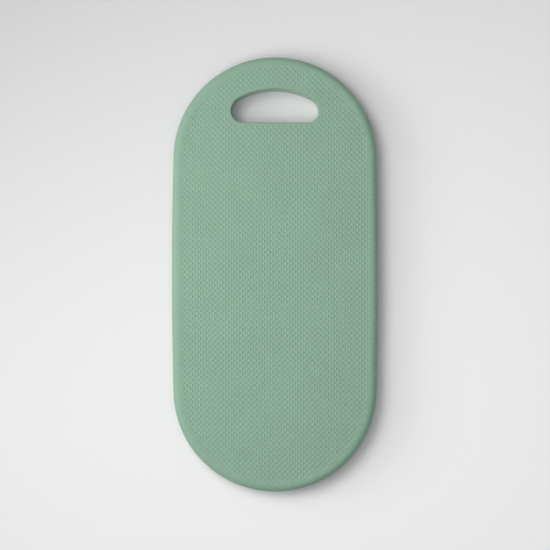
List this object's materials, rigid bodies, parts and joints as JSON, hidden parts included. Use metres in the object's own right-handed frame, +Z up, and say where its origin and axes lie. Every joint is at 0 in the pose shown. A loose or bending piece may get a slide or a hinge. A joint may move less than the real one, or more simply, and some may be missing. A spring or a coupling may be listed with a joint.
{
  "type": "kneeling pad",
  "caption": "Flat garden kneeling pad of soft closed-cell foam with rounded ends, an embossed non-slip skin and a hand slot for carrying or hanging.",
  "frame": {"origin": "on the ground under the middle of the pad", "axes": "+X across the pad, +Y along it towards the end with the hand slot, +Z up from the ground through the kneeling face"},
  "size_m": [0.205, 0.432, 0.025],
  "materials": {
    "skin": "matte",
    "cushion_foam": "matte"
  },
  "bodies": {
    "root": {"top_skin": "skin", "foam_core": "cushion_foam", "bottom_skin": "skin"}
  },
  "joints": []
}
